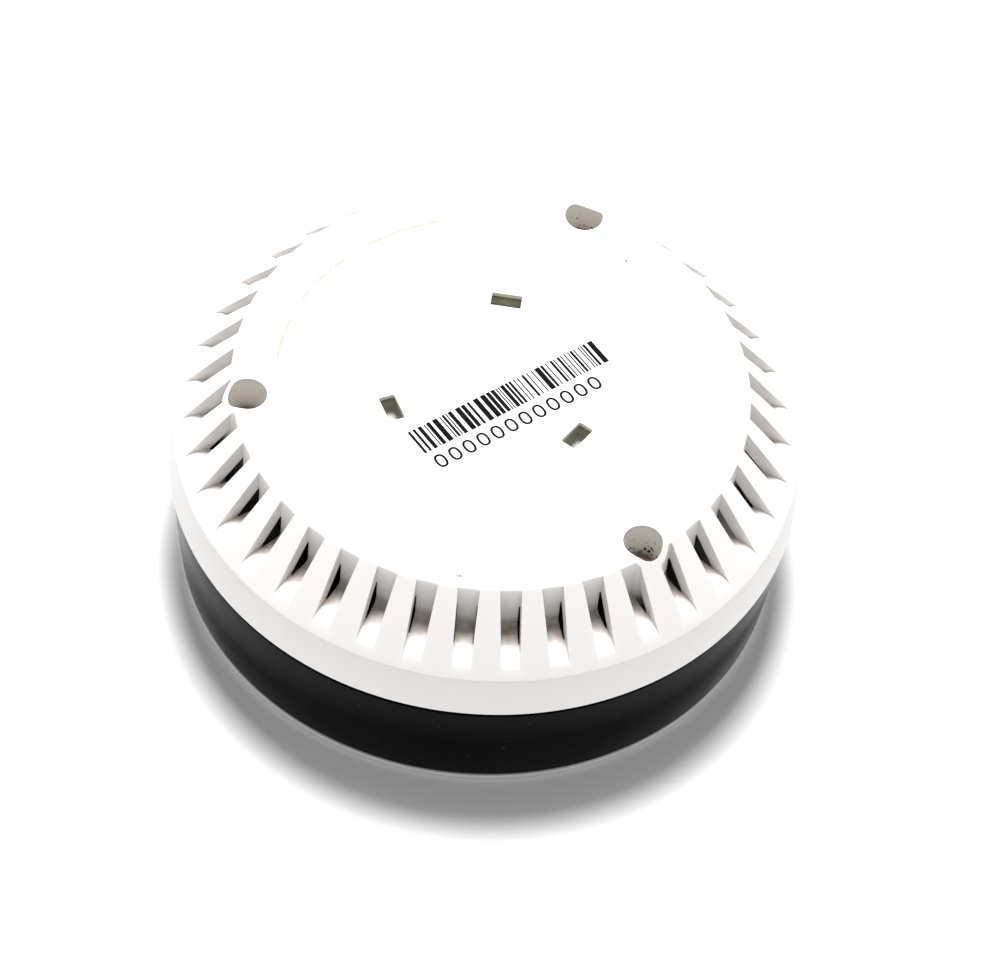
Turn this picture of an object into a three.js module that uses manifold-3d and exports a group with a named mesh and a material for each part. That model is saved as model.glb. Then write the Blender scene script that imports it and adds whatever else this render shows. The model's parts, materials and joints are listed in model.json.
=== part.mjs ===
// Round ceiling-type carbon monoxide alarm, lying on its front face with its back up.
// Millimetres, +Z up. The origin is the middle of the front face that it rests on.
import * as THREE from "three";
import { mergeVertices } from "three/addons/utils/BufferGeometryUtils.js";
import Module from "manifold-3d";

const wasm = await Module();
wasm.setup();

// ---- driving dimensions ----
const GAP = 0.3; // clearance between neighbouring pieces
const SEGMENTS = 80; // shells that show
const HIDDEN_SEGMENTS = 64; // shells inside the case and on the underside
const SMALL_SEGMENTS = 20; // round fittings

const SEAM_Z = 24.4; // lower edge of the back cover's rim
const RIM_RADIUS = 60; // at the seam, the widest circle
const SHOULDER_RADIUS = 59.05; // where the rim turns into the shoulder
const SHOULDER_Z = 33.4;
const PLATE_RADIUS = 47.93; // where the shoulder's slope would meet the plate
const PLATE_Z = 47.4; // top of the back plate
const PLATE_THICKNESS = 2;
const RIM_WALL = 1.8;
const EDGE_ROUND = 2.4; // between plate and shoulder

const SLOT_COUNT = 40;
const SLOT_INNER_WIDTH = 3.9;
const SLOT_OUTER_WIDTH = 3.5;
const SLOT_INNER_RADIUS = 48.5;
const SLOT_OUTER_RADIUS = 57.9;
const TROUGH_Z = 36.5; // floor of the trough under each slot
const TROUGH_FLAT_RADIUS = 53.5; // from here the floor falls to the shoulder
const TROUGH_ROUND = 1;
const TROUGH_THICKNESS = 1.2;
const TROUGH_CLEARANCE = 0.15; // each side, between a trough and the ribs beside it
const RIB_DEPTH = 4.8; // upright

const PITCH_RADIUS = 45.6; // screw pockets
const PITCH_ANGLES = [71.9, 191.9, 311.9].map(THREE.MathUtils.degToRad);
const POCKET_RADIUS = 3.65;
const BOSS_WALL = 1;
const POCKET_FLOOR_Z = 38;
const BOSS_BOTTOM_Z = 30;
const BOSS_SEGMENTS = 32;
const CASE_SCREW = {
  radius: 1.5, tipRadius: 0.8, length: 15, taper: 1.5, holeRadius: 1.9, pilotRadius: 1.8, pilotBottomZ: 18,
  headRadius: 2.9, headHeight: 2.2, headTopRadius: 2.2, headChamfer: 0.9,
  crossLength: 3.4, crossWidth: 0.7, crossDepth: 1.2,
};

const WINDOW_RADIUS = 20;
const WINDOW_ANGLES = [86.9, 206.9, 326.9].map(THREE.MathUtils.degToRad);
const WINDOW_LENGTH = 5.7;
const WINDOW_WIDTH = 3;
const WINDOW_DEPTH = 4.2;
const WINDOW_WALL = 1.6;

const LABEL = { length: 48.2, width: 16.6, thickness: 0.15, x: 6.3, y: -5.4, turn: 39.9 };

const BAND_TOP_RADIUS = 59.5;
const BAND_BOTTOM_RADIUS = 57.45;
const BAND_BOTTOM_Z = 1.6;
const BAND_TOP_Z = 23.3;
const BAND_WALL = 2;
const TONGUE_RADIUS = 57.6;
const TONGUE_TOP_Z = 26.2;
const DECK_RADIUS = 50.6;
const DECK_THICKNESS = 1.6;

const FRONT_RADIUS = 57.55;
const FRONT_THICKNESS = 2.2;
const FRONT_EDGE_ROUND = 0.8;
const SPIGOT_RADIUS = 55.1;
const SPIGOT_WALL = 1.5;
const SPIGOT_TOP_Z = 9;
const POST_ROOT_Z = 1; // the posts and the guide wall start inside the plate
const CASE_POST_RADIUS = 3.75;
const BOARD_POST_RADIUS = 3;
const BOARD_POST_PITCH = 34.5;
const BOARD_BORE_BOTTOM_Z = 6;
const BOARD_SCREW = {
  radius: 1, length: 8, holeRadius: 1.7, pilotRadius: 1.3,
  headRadius: 2.2, headTopRadius: 1.6, rimHeight: 1, headHeight: 1.6, slotWidth: 0.6,
};
const BOARD_POST_ANGLES = [11.9, 131.9, 251.9].map(THREE.MathUtils.degToRad);

const BOARD_Z = 14;
const BOARD_THICKNESS = 1.6;
const BOARD_RADIUS = 38.5;
const BOARD_TOP_Z = BOARD_Z + BOARD_THICKNESS;

const SCREEN_RADIUS = 40.3;
const SCREEN_WALL = 1.2;
const SCREEN_TOP_Z = PLATE_Z - PLATE_THICKNESS - GAP;
const SCREEN_WINDOWS = 16;
const SCREEN_WINDOW_WIDTH = 5;
const SCREEN_LOWER_BAR = 6;
const SCREEN_UPPER_BAR = 4;

const BUTTON_RADIUS = 8.7;
const BUTTON_RECESS = 0.4; // the button's face stands this far in from the front face
const BUTTON_CHAMFER = 0.4;
const BUTTON_FLANGE_RADIUS = 10;
const BUTTON_FLANGE_THICKNESS = 1;
const BUTTON_STEM_RADIUS = 2.5;
const BUTTON_STEM_TOP_Z = 9;
const BUTTON_GUIDE_WALL = 1;
const BUTTON_GUIDE_TOP_Z = 5.5;
const PLUNGER_LENGTH = 2;
const PLUNGER_RADIUS = 1.7;
const SWITCH_SIDE = 6;
const SWITCH_RISE = 1.2; // the plunger stands this far out of the switch
const SWITCH_TRAVEL_ROOM = 0.9;

const HORN = { x: -25, y: 0, radius: 12.5, wall: 1.2, bottomZ: 2.5, topZ: 12.2, throat: 2.2 };
const PIEZO = { rise: 4.5, thickness: 0.5 };
const SOUND_HOLE = { middleRadius: 1.2, radius: 1, rings: [[6, 3.6], [10, 7.2]] }; // [count, ring radius]
const LED_X = 21;
const LED_SPACING = 7;
const LED_RADIUS = 1.5;
const LED_FLANGE = { radius: 1.8, height: 1 };
const LED_DOME = { radius: 1.2, height: 0.5 };
const LIGHT_GUIDE = { topZ: 9.5, recess: 0.4, barThickness: 1.5, barWidth: 4.4 };

const CELL_RADIUS = 7.8;
const CELL_LENGTH = 27;
const CELL_Y = [20, 3.2];
const CELL_TIP = { radius: 2.6, length: 1.2, sunk: 0.1 };
const CONTACT = { thickness: 0.5, width: 30, height: 13, gap: 0.25 };
const TRAY = { x: -2, y: 11.6, length: 33.8, width: 36, height: 8, wall: 1.4, floor: 1.2 };
const SENSOR = {
  x: 4, y: -23.5, radius: 10, height: 14,
  capHeight: 3, capInset: 1, capChamfer: 0.6, holeRadius: 1.2,
};
const CHIP = { x: 6, y: -20, side: 8, height: 1.5 };
const COIL = { x: 24, y: -18, radius: 4.5, coreRadius: 3.6, flange: 1, height: 8 };
const CAPACITOR = { x: -19, y: -18, radius: 4, height: 11.5 };

// ---- materials ----
function plain(color, roughness, metalness = 0) {
  return new THREE.MeshStandardMaterial({ color, roughness, metalness });
}

const MATERIALS = {
  white: plain("#f2efea", 0.45),
  paper: plain("#f4f4f2", 0.6),
  blackGloss: plain("#0b0c10", 0.12),
  blackMatte: plain("#101012", 0.6),
  screwSteel: plain("#4a3b36", 0.4, 1),
  clear: plain("#dfe6ea", 0.1),
  board: plain("#1f5a34", 0.4),
  brass: plain("#b7964a", 0.3, 1),
  nickel: plain("#b9bbbd", 0.3, 1),
  cellSleeve: plain("#3d5f8c", 0.35),
  sensorCase: plain("#d7d3c8", 0.5),
  chip: plain("#1a1a1c", 0.5),
  ledGreen: plain("#3fae55", 0.2),
  ledRed: plain("#c23a33", 0.2),
  ledAmber: plain("#d79a2e", 0.2),
};

// ---- solids ----
function toSolid(geometry) {
  const bare = geometry.clone();
  bare.deleteAttribute("normal");
  bare.deleteAttribute("uv");
  const merged = mergeVertices(bare, 1e-4);
  const mesh = new wasm.Mesh({
    numProp: 3,
    vertProperties: new Float32Array(merged.attributes.position.array),
    triVerts: new Uint32Array(merged.index.array),
  });
  mesh.merge();
  return new wasm.Manifold(mesh);
}

function toGeometry(solid) {
  const mesh = solid.getMesh();
  const geometry = new THREE.BufferGeometry();
  geometry.setAttribute("position", new THREE.BufferAttribute(mesh.vertProperties, 3));
  geometry.setIndex(new THREE.BufferAttribute(mesh.triVerts, 1));
  geometry.computeVertexNormals();
  return geometry;
}

function addAll(solid, others) {
  return others.reduce((sum, other) => sum.add(other), solid);
}

function cutAll(solid, others) {
  return others.reduce((rest, other) => rest.subtract(other), solid);
}

// A closed outline of [radius, z] pairs in either direction, turned about Z.
function turned(outline, segments = SEGMENTS) {
  const points = outline.map(([radius, z]) => new THREE.Vector2(radius, z));
  if (THREE.ShapeUtils.area(points) < 0) {
    points.reverse();
  }
  const onAxis = points[0].x === 0 && points.at(-1).x === 0;
  if (!onAxis) {
    points.push(points[0].clone());
  }
  return new THREE.LatheGeometry(points, segments).rotateX(Math.PI / 2);
}

function disc(radius, bottomZ, topZ, segments = SMALL_SEGMENTS) {
  return turned([[0, bottomZ], [radius, bottomZ], [radius, topZ], [0, topZ]], segments);
}

function ring(inner, outer, bottomZ, topZ, segments = SMALL_SEGMENTS) {
  return turned([[inner, bottomZ], [outer, bottomZ], [outer, topZ], [inner, topZ]], segments);
}

function block(width, depth, bottomZ, topZ) {
  const geometry = new THREE.BoxGeometry(width, depth, topZ - bottomZ);
  return geometry.translate(0, 0, (bottomZ + topZ) / 2);
}

function lyingCylinder(radius, length, segments = SMALL_SEGMENTS) {
  return new THREE.CylinderGeometry(radius, radius, length, segments).rotateZ(Math.PI / 2);
}

// An outline of [radius, z] pairs in the XZ plane, thickened along Y by `widthAt(radius)`, then
// turned about Z.
function radialPrism(outline, widthAt, angle) {
  const shape = new THREE.Shape(outline.map(([radius, z]) => new THREE.Vector2(radius, z)));
  const geometry = new THREE.ExtrudeGeometry(shape, { depth: 1, bevelEnabled: false });
  geometry.translate(0, 0, -0.5).rotateX(Math.PI / 2);
  const { position } = geometry.attributes;
  for (let i = 0; i < position.count; i += 1) {
    position.setY(i, position.getY(i) * widthAt(position.getX(i)));
  }
  return geometry.rotateZ(angle);
}

// Points of a round corner of the given radius at `corner`, on the way from `from` to `to`.
function roundCorner(from, corner, to, radius, steps) {
  const [start, mid, end] = [from, corner, to].map(([x, y]) => new THREE.Vector2(x, y));
  const inward = start.clone().sub(mid).normalize();
  const outward = end.clone().sub(mid).normalize();
  const half = Math.acos(inward.dot(outward)) / 2;
  const centre = inward.clone().add(outward).normalize().multiplyScalar(radius / Math.sin(half)).add(mid);
  const first = inward.multiplyScalar(radius / Math.tan(half)).add(mid).sub(centre);
  const last = outward.multiplyScalar(radius / Math.tan(half)).add(mid).sub(centre);
  const sweep = Math.atan2(first.cross(last), first.dot(last));
  return Array.from({ length: steps + 1 }, (_, i) => {
    const point = first.clone().rotateAround(new THREE.Vector2(), (sweep * i) / steps).add(centre);
    return [point.x, point.y];
  });
}

function onCircle(geometry, radius, angle) {
  return geometry.clone().translate(radius * Math.cos(angle), radius * Math.sin(angle), 0);
}

function atAngles(geometry, radius, angles) {
  return angles.map((angle) => toSolid(onCircle(geometry, radius, angle)));
}

// Top of the shoulder's slope at a radius.
const SHOULDER_SLOPE = (PLATE_Z - SHOULDER_Z) / (SHOULDER_RADIUS - PLATE_RADIUS);

function shoulderZ(radius) {
  return SHOULDER_Z + SHOULDER_SLOPE * (SHOULDER_RADIUS - radius);
}

// ---- back cover ----
const SLOT_ANGLES = Array.from({ length: SLOT_COUNT }, (_, i) => (2 * Math.PI * i) / SLOT_COUNT);
const RIB_ANGLES = SLOT_ANGLES.map((angle) => angle + Math.PI / SLOT_COUNT);

function slotWidth(radius) {
  const share = (radius - SLOT_INNER_RADIUS) / (SLOT_OUTER_RADIUS - SLOT_INNER_RADIUS);
  return THREE.MathUtils.lerp(SLOT_INNER_WIDTH, SLOT_OUTER_WIDTH, share);
}

// The trough's line from the slot's upright inner wall to its flat floor, moved in and down by `offset`.
function troughLine(offset) {
  const top = [SLOT_INNER_RADIUS - offset, PLATE_Z];
  const corner = [SLOT_INNER_RADIUS - offset, TROUGH_Z - offset];
  const flatEnd = [TROUGH_FLAT_RADIUS, TROUGH_Z - offset];
  return [...roundCorner(top, corner, flatEnd, TROUGH_ROUND + offset, 2), flatEnd];
}

function backShell() {
  const innerRim = RIM_RADIUS - RIM_WALL;
  const innerPlateZ = PLATE_Z - PLATE_THICKNESS;
  return toSolid(turned([
    [0, PLATE_Z],
    ...roundCorner([0, PLATE_Z], [PLATE_RADIUS, PLATE_Z], [SHOULDER_RADIUS, SHOULDER_Z], EDGE_ROUND, 2),
    [SHOULDER_RADIUS, SHOULDER_Z],
    [RIM_RADIUS, SEAM_Z],
    [innerRim, SEAM_Z],
    [innerRim - 0.5, shoulderZ(SLOT_OUTER_RADIUS) - TROUGH_THICKNESS - 0.4],
    ...troughLine(TROUGH_THICKNESS).reverse(),
    [SLOT_INNER_RADIUS - TROUGH_THICKNESS, innerPlateZ],
    [0, innerPlateZ],
  ]));
}

function ventSlots() {
  const above = PLATE_Z + 5;
  const outline = [
    [SLOT_INNER_RADIUS, above],
    ...troughLine(0),
    [SLOT_OUTER_RADIUS, shoulderZ(SLOT_OUTER_RADIUS)],
    [SLOT_OUTER_RADIUS + 3, shoulderZ(SLOT_OUTER_RADIUS) + 1],
    [SLOT_OUTER_RADIUS + 3, above],
  ];
  return SLOT_ANGLES.map((angle) => toSolid(radialPrism(outline, slotWidth, angle)));
}

// The wedge of space under each rib, open to the inside of the case and to the slots on both sides.
function ribHollows() {
  const inner = SLOT_INNER_RADIUS - TROUGH_THICKNESS - 1;
  const corner = SLOT_INNER_RADIUS - 0.2;
  const outer = SHOULDER_RADIUS - (TROUGH_Z + RIB_DEPTH - SHOULDER_Z) / SHOULDER_SLOPE;
  const widthAt = (radius) => (2 * Math.PI * radius) / SLOT_COUNT - slotWidth(radius) + 2 * TROUGH_CLEARANCE;
  const outline = [
    [corner, shoulderZ(corner) - RIB_DEPTH],
    [inner, shoulderZ(corner) - RIB_DEPTH],
    [inner, SEAM_Z],
    [outer, SEAM_Z],
    [outer, TROUGH_Z],
  ];
  return RIB_ANGLES.map((angle) => toSolid(radialPrism(outline, widthAt, angle)));
}

function bracketWindows() {
  const innerPlateZ = PLATE_Z - PLATE_THICKNESS;
  const outer = block(
    WINDOW_WIDTH + 2 * WINDOW_WALL, WINDOW_LENGTH + 2 * WINDOW_WALL,
    PLATE_Z - WINDOW_DEPTH - WINDOW_WALL, innerPlateZ + 0.5,
  );
  const hollow = block(WINDOW_WIDTH, WINDOW_LENGTH, PLATE_Z - WINDOW_DEPTH, PLATE_Z + 1);
  const place = (geometry) => WINDOW_ANGLES.map((angle) =>
    toSolid(geometry.clone().translate(WINDOW_RADIUS, 0, 0).rotateZ(angle)));
  return { boxes: place(outer), hollows: place(hollow) };
}

function backCover() {
  const bossRadius = POCKET_RADIUS + BOSS_WALL;
  const boss = disc(bossRadius, BOSS_BOTTOM_Z, PLATE_Z + 1, BOSS_SEGMENTS);
  const envelope = toSolid(turned([
    [0, 0],
    [RIM_RADIUS + 5, 0],
    [RIM_RADIUS + 5, SHOULDER_Z],
    [SHOULDER_RADIUS, SHOULDER_Z],
    ...roundCorner([SHOULDER_RADIUS, SHOULDER_Z], [PLATE_RADIUS, PLATE_Z], [0, PLATE_Z], EDGE_ROUND, 2),
    [0, PLATE_Z],
  ]));
  const bosses = atAngles(boss, PITCH_RADIUS, PITCH_ANGLES).map((solid) => solid.intersect(envelope));
  const pocket = disc(POCKET_RADIUS, POCKET_FLOOR_Z, PLATE_Z + 5, BOSS_SEGMENTS);
  const pockets = atAngles(pocket, PITCH_RADIUS, PITCH_ANGLES);
  const clearance = disc(CASE_SCREW.holeRadius, BOSS_BOTTOM_Z - 1, POCKET_FLOOR_Z + 1, 16);
  const clearances = atAngles(clearance, PITCH_RADIUS, PITCH_ANGLES);
  const windows = bracketWindows();
  let cover = cutAll(backShell(), [...ribHollows(), ...ventSlots()]);
  cover = addAll(cover, [...bosses, ...windows.boxes]);
  return cutAll(cover, [...pockets, ...clearances, ...windows.hollows]);
}

function backLabel() {
  const bottom = PLATE_Z + 0.05;
  const geometry = block(LABEL.length, LABEL.width, bottom, bottom + LABEL.thickness);
  return toSolid(geometry.rotateZ(THREE.MathUtils.degToRad(LABEL.turn)).translate(LABEL.x, LABEL.y, 0));
}

// ---- case ----
function caseScrew(angle) {
  const { radius, tipRadius, length, taper, headRadius, headTopRadius, headChamfer } = CASE_SCREW;
  const headBottom = POCKET_FLOOR_Z + GAP;
  const headTop = headBottom + CASE_SCREW.headHeight;
  const shape = toSolid(turned([
    [0, headBottom - length],
    [tipRadius, headBottom - length],
    [radius, headBottom - length + taper],
    [radius, headBottom],
    [headRadius, headBottom],
    [headRadius, headTop - headChamfer],
    [headTopRadius, headTop],
    [0, headTop],
  ], 16));
  const { crossWidth, crossLength, crossDepth } = CASE_SCREW;
  const cross = [
    block(crossWidth, crossLength, headTop - crossDepth, headTop + 1),
    block(crossLength, crossWidth, headTop - crossDepth, headTop + 1),
  ];
  const screw = cutAll(shape, cross.map(toSolid));
  return screw.translate([PITCH_RADIUS * Math.cos(angle), PITCH_RADIUS * Math.sin(angle), 0]);
}

function sideBand() {
  const inner = BAND_BOTTOM_RADIUS - BAND_WALL;
  return toSolid(turned([
    [inner, BAND_BOTTOM_Z],
    [BAND_BOTTOM_RADIUS, BAND_BOTTOM_Z],
    [BAND_TOP_RADIUS, BAND_TOP_Z],
    [TONGUE_RADIUS, BAND_TOP_Z],
    [TONGUE_RADIUS, TONGUE_TOP_Z],
    [TONGUE_RADIUS - 1.6, TONGUE_TOP_Z],
    [TONGUE_RADIUS - 1.6, BAND_TOP_Z],
    [DECK_RADIUS, BAND_TOP_Z],
    [DECK_RADIUS, BAND_TOP_Z - DECK_THICKNESS],
    [inner, BAND_TOP_Z - DECK_THICKNESS],
  ]));
}

function dustScreen() {
  const inner = SCREEN_RADIUS - SCREEN_WALL;
  const bottom = BOARD_TOP_Z + GAP;
  const wall = toSolid(ring(inner, SCREEN_RADIUS, bottom, SCREEN_TOP_Z, HIDDEN_SEGMENTS));
  const openingBottom = bottom + SCREEN_LOWER_BAR;
  const openingTop = SCREEN_TOP_Z - SCREEN_UPPER_BAR;
  const opening = block(4, SCREEN_WINDOW_WIDTH, openingBottom, openingTop).translate(SCREEN_RADIUS, 0, 0);
  const openings = Array.from({ length: SCREEN_WINDOWS }, (_, i) =>
    toSolid(opening.clone().rotateZ((2 * Math.PI * (i + 0.5)) / SCREEN_WINDOWS)));
  return cutAll(wall, openings);
}

function soundHoles() {
  const holes = [toSolid(disc(SOUND_HOLE.middleRadius, -1, 5, 8).translate(HORN.x, HORN.y, 0))];
  for (const [count, radius] of SOUND_HOLE.rings) {
    for (let i = 0; i < count; i += 1) {
      const angle = (2 * Math.PI * i) / count;
      const hole = onCircle(disc(SOUND_HOLE.radius, -1, 5, 8), radius, angle).translate(HORN.x, HORN.y, 0);
      holes.push(toSolid(hole));
    }
  }
  return holes;
}

function ledPlaces() {
  return [-1, 0, 1].map((i) => ({ x: LED_X, y: i * LED_SPACING }));
}

function frontCover() {
  const spigotInner = SPIGOT_RADIUS - SPIGOT_WALL;
  const plate = toSolid(turned([
    [0, 0],
    ...roundCorner([0, 0], [FRONT_RADIUS - 0.3, 0], [FRONT_RADIUS, BAND_BOTTOM_Z], FRONT_EDGE_ROUND, 2),
    [FRONT_RADIUS, BAND_BOTTOM_Z - GAP],
    [SPIGOT_RADIUS, BAND_BOTTOM_Z - GAP],
    [SPIGOT_RADIUS, SPIGOT_TOP_Z],
    [spigotInner, SPIGOT_TOP_Z],
    [spigotInner, FRONT_THICKNESS],
    [0, FRONT_THICKNESS],
  ], HIDDEN_SEGMENTS));
  const casePostTop = BOSS_BOTTOM_Z - GAP;
  const casePost = disc(CASE_POST_RADIUS, POST_ROOT_Z, casePostTop, 16);
  const casePosts = atAngles(casePost, PITCH_RADIUS, PITCH_ANGLES);
  const caseBore = disc(CASE_SCREW.pilotRadius, CASE_SCREW.pilotBottomZ, casePostTop + 1, 10);
  const caseBores = atAngles(caseBore, PITCH_RADIUS, PITCH_ANGLES);
  const boardPostTop = BOARD_Z - GAP;
  const boardPost = disc(BOARD_POST_RADIUS, POST_ROOT_Z, boardPostTop, 12);
  const boardPosts = atAngles(boardPost, BOARD_POST_PITCH, BOARD_POST_ANGLES);
  const boardBore = disc(BOARD_SCREW.pilotRadius, BOARD_BORE_BOTTOM_Z, boardPostTop + 1, 8);
  const boardBores = atAngles(boardBore, BOARD_POST_PITCH, BOARD_POST_ANGLES);
  const buttonHole = toSolid(disc(BUTTON_RADIUS + GAP, -1, 3, 40));
  const lightHole = disc(LED_RADIUS + GAP, -1, 5, 12);
  const lightHoles = ledPlaces().map(({ x, y }) => toSolid(lightHole.clone().translate(x, y, 0)));
  const guideInner = BUTTON_FLANGE_RADIUS + GAP;
  const guideOuter = guideInner + BUTTON_GUIDE_WALL;
  const guideWall = toSolid(ring(guideInner, guideOuter, POST_ROOT_Z, BUTTON_GUIDE_TOP_Z, 40));
  const body = addAll(plate, [...casePosts, ...boardPosts, guideWall]);
  return cutAll(body, [...caseBores, ...boardBores, buttonHole, ...lightHoles, ...soundHoles()]);
}

// ---- test button ----
function testButton() {
  const flangeBottom = FRONT_THICKNESS + GAP;
  const flangeTop = flangeBottom + BUTTON_FLANGE_THICKNESS;
  return toSolid(turned([
    [0, BUTTON_RECESS],
    [BUTTON_RADIUS - BUTTON_CHAMFER, BUTTON_RECESS],
    [BUTTON_RADIUS, BUTTON_RECESS + BUTTON_CHAMFER],
    [BUTTON_RADIUS, flangeBottom],
    [BUTTON_FLANGE_RADIUS, flangeBottom],
    [BUTTON_FLANGE_RADIUS, flangeTop],
    [BUTTON_STEM_RADIUS, flangeTop],
    [BUTTON_STEM_RADIUS, BUTTON_STEM_TOP_Z],
    [0, BUTTON_STEM_TOP_Z],
  ], 40));
}

function switchPlunger() {
  const bottom = BUTTON_STEM_TOP_Z + GAP;
  return toSolid(disc(PLUNGER_RADIUS, bottom, bottom + PLUNGER_LENGTH));
}

function testSwitch() {
  const plungerBottom = BUTTON_STEM_TOP_Z + GAP;
  const body = toSolid(block(SWITCH_SIDE, SWITCH_SIDE, plungerBottom + SWITCH_RISE, BOARD_Z - GAP));
  const wellTop = plungerBottom + PLUNGER_LENGTH + SWITCH_TRAVEL_ROOM;
  return body.subtract(toSolid(disc(PLUNGER_RADIUS + GAP, 0, wellTop)));
}

// ---- lights ----
function lightGuide() {
  const { topZ, recess, barThickness, barWidth } = LIGHT_GUIDE;
  const barBottom = FRONT_THICKNESS + GAP;
  const bar = block(barWidth, 2 * LED_SPACING + barWidth, barBottom, barBottom + barThickness);
  const prong = disc(LED_RADIUS, recess, topZ, 12);
  const prongs = ledPlaces().map(({ x, y }) => toSolid(prong.clone().translate(x, y, 0)));
  return addAll(toSolid(bar.translate(LED_X, 0, 0)), prongs);
}

function led({ x, y }) {
  const bottom = LIGHT_GUIDE.topZ + GAP;
  const top = BOARD_Z - GAP;
  return toSolid(turned([
    [0, bottom],
    [LED_DOME.radius, bottom],
    [LED_RADIUS, bottom + LED_DOME.height],
    [LED_RADIUS, top - LED_FLANGE.height],
    [LED_FLANGE.radius, top - LED_FLANGE.height],
    [LED_FLANGE.radius, top],
    [0, top],
  ], 12).translate(x, y, 0));
}

// ---- sounder ----
function hornChamber() {
  const inner = HORN.radius - HORN.wall;
  return toSolid(turned([
    [HORN.throat, HORN.topZ - HORN.wall],
    [inner, HORN.topZ - HORN.wall],
    [inner, HORN.bottomZ],
    [HORN.radius, HORN.bottomZ],
    [HORN.radius, HORN.topZ],
    [HORN.throat, HORN.topZ],
  ], 32).translate(HORN.x, HORN.y, 0));
}

function piezoDisc() {
  const bottom = HORN.bottomZ + PIEZO.rise;
  const plate = disc(HORN.radius - HORN.wall - GAP, bottom, bottom + PIEZO.thickness, 32);
  return toSolid(plate.translate(HORN.x, HORN.y, 0));
}

// ---- board ----
function mainBoard() {
  const board = toSolid(disc(BOARD_RADIUS, BOARD_Z, BOARD_TOP_Z, 48));
  const hole = disc(BOARD_SCREW.holeRadius, BOARD_Z - 1, BOARD_TOP_Z + 1, 12);
  const holes = atAngles(hole, BOARD_POST_PITCH, BOARD_POST_ANGLES);
  return cutAll(board, holes);
}

function boardScrew(angle) {
  const { radius, length, headRadius, headTopRadius, rimHeight, headHeight, slotWidth } = BOARD_SCREW;
  const headBottom = BOARD_TOP_Z + GAP;
  const shape = toSolid(turned([
    [0, headBottom - length],
    [radius, headBottom - length],
    [radius, headBottom],
    [headRadius, headBottom],
    [headRadius, headBottom + rimHeight],
    [headTopRadius, headBottom + headHeight],
    [0, headBottom + headHeight],
  ], 16));
  const slot = toSolid(block(slotWidth, 3 * headRadius, headBottom + rimHeight, headBottom + 2 * headHeight));
  const place = [BOARD_POST_PITCH * Math.cos(angle), BOARD_POST_PITCH * Math.sin(angle), 0];
  return shape.subtract(slot).translate(place);
}

function coSensor() {
  const bottom = BOARD_TOP_Z + GAP;
  return toSolid(turned([
    [0, bottom],
    [SENSOR.radius, bottom],
    [SENSOR.radius, bottom + SENSOR.height],
    [0, bottom + SENSOR.height],
  ], 32).translate(SENSOR.x, SENSOR.y, 0));
}

function sensorCap() {
  const { holeRadius, capInset, capChamfer } = SENSOR;
  const bottom = BOARD_TOP_Z + SENSOR.height + 2 * GAP;
  const top = bottom + SENSOR.capHeight;
  const radius = SENSOR.radius - capInset;
  return toSolid(turned([
    [holeRadius, bottom],
    [radius, bottom],
    [radius, top - capChamfer],
    [radius - capChamfer, top],
    [holeRadius, top],
  ], 32).translate(SENSOR.x, SENSOR.y, 0));
}

function batteryTray() {
  const bottom = BOARD_TOP_Z + GAP;
  const outer = toSolid(block(TRAY.length, TRAY.width, bottom, bottom + TRAY.height));
  const inside = block(
    TRAY.length - 2 * TRAY.wall, TRAY.width - 2 * TRAY.wall, bottom + TRAY.floor, bottom + TRAY.height + 1,
  );
  return outer.subtract(toSolid(inside)).translate([TRAY.x, TRAY.y, 0]);
}

function battery(y) {
  const axisZ = BOARD_TOP_Z + GAP + TRAY.floor + GAP + CELL_RADIUS;
  const tipX = (CELL_LENGTH + CELL_TIP.length) / 2 - CELL_TIP.sunk;
  const can = toSolid(lyingCylinder(CELL_RADIUS, CELL_LENGTH, 24));
  const tip = toSolid(lyingCylinder(CELL_TIP.radius, CELL_TIP.length, 12).translate(tipX, 0, 0));
  return can.add(tip).translate([TRAY.x, y, axisZ]);
}

function batteryContact(side) {
  const bottom = BOARD_TOP_Z + GAP + TRAY.floor + GAP;
  const inset = TRAY.length / 2 - TRAY.wall - GAP - CONTACT.gap;
  const strip = toSolid(block(CONTACT.thickness, CONTACT.width, bottom, bottom + CONTACT.height));
  return strip.translate([TRAY.x + side * inset, TRAY.y, 0]);
}

function mcuChip() {
  const chip = block(CHIP.side, CHIP.side, BOARD_Z - CHIP.height, BOARD_Z - GAP);
  return toSolid(chip.translate(CHIP.x, CHIP.y, 0));
}

function boostCoil() {
  const { radius, coreRadius, flange, height } = COIL;
  const bottom = BOARD_TOP_Z + GAP;
  return toSolid(turned([
    [0, bottom],
    [radius, bottom],
    [radius, bottom + flange],
    [coreRadius, bottom + flange],
    [coreRadius, bottom + height - flange],
    [radius, bottom + height - flange],
    [radius, bottom + height],
    [0, bottom + height],
  ], SMALL_SEGMENTS).translate(COIL.x, COIL.y, 0));
}

function reservoirCapacitor() {
  const bottom = BOARD_TOP_Z + GAP;
  const can = disc(CAPACITOR.radius, bottom, bottom + CAPACITOR.height);
  return toSolid(can.translate(CAPACITOR.x, CAPACITOR.y, 0));
}

// ---- assembly ----
const object = new THREE.Group();

function place(name, solid, material) {
  const mesh = new THREE.Mesh(toGeometry(solid), material);
  mesh.name = name;
  object.add(mesh);
}

const LETTERS = ["a", "b", "c"];

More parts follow.
